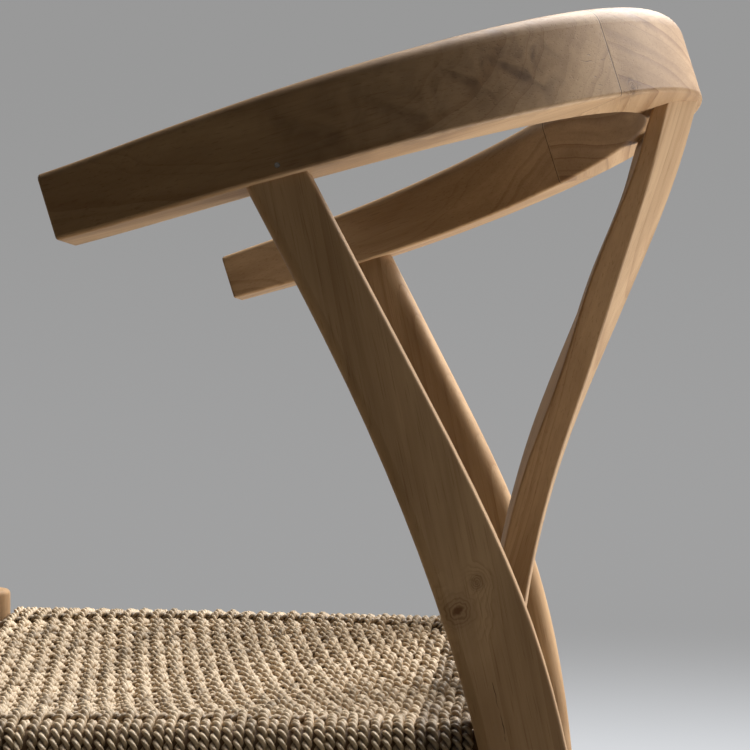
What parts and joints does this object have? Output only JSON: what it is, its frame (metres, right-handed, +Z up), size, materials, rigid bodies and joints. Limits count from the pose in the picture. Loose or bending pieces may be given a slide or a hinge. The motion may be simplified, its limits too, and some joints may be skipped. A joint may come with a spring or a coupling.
{
  "type": "armchair",
  "caption": "Wooden armchair with a bow-shaped top rail, curved rear legs, a forked back splat, turned front legs, oval stretchers and a dished seat woven from twisted natural cord.",
  "frame": {"origin": "on the floor, in the middle of the chair's width and depth", "axes": "+Z up, -Y the way the chair faces, +X across the chair, to the left hand of a sitting person"},
  "size_m": [0.5282, 0.512, 0.7975],
  "materials": {
    "teak": "oiled, satin",
    "dowel_wood": "bare",
    "pin_steel": "dull",
    "cord": "twisted dry grass fibre",
    "glide_plastic": "matt"
  },
  "bodies": {
    "root": {"bow_back": "teak", "bow_arm_right": "teak", "bow_arm_left": "teak", "bow_dowels": "dowel_wood", "arm_pins": "pin_steel", "rear_leg_right": "teak", "rear_leg_left": "teak", "front_leg_right": "teak", "front_leg_left": "teak", "back_splat": "teak", "seat_rail_front": "teak", "seat_rail_back": "teak", "seat_rail_right": "teak", "seat_rail_left": "teak", "stretcher_front": "teak", "stretcher_back": "teak", "stretcher_right": "teak", "stretcher_left": "teak", "woven_seat": "cord", "foot_glides": "glide_plastic"}
  },
  "joints": []
}
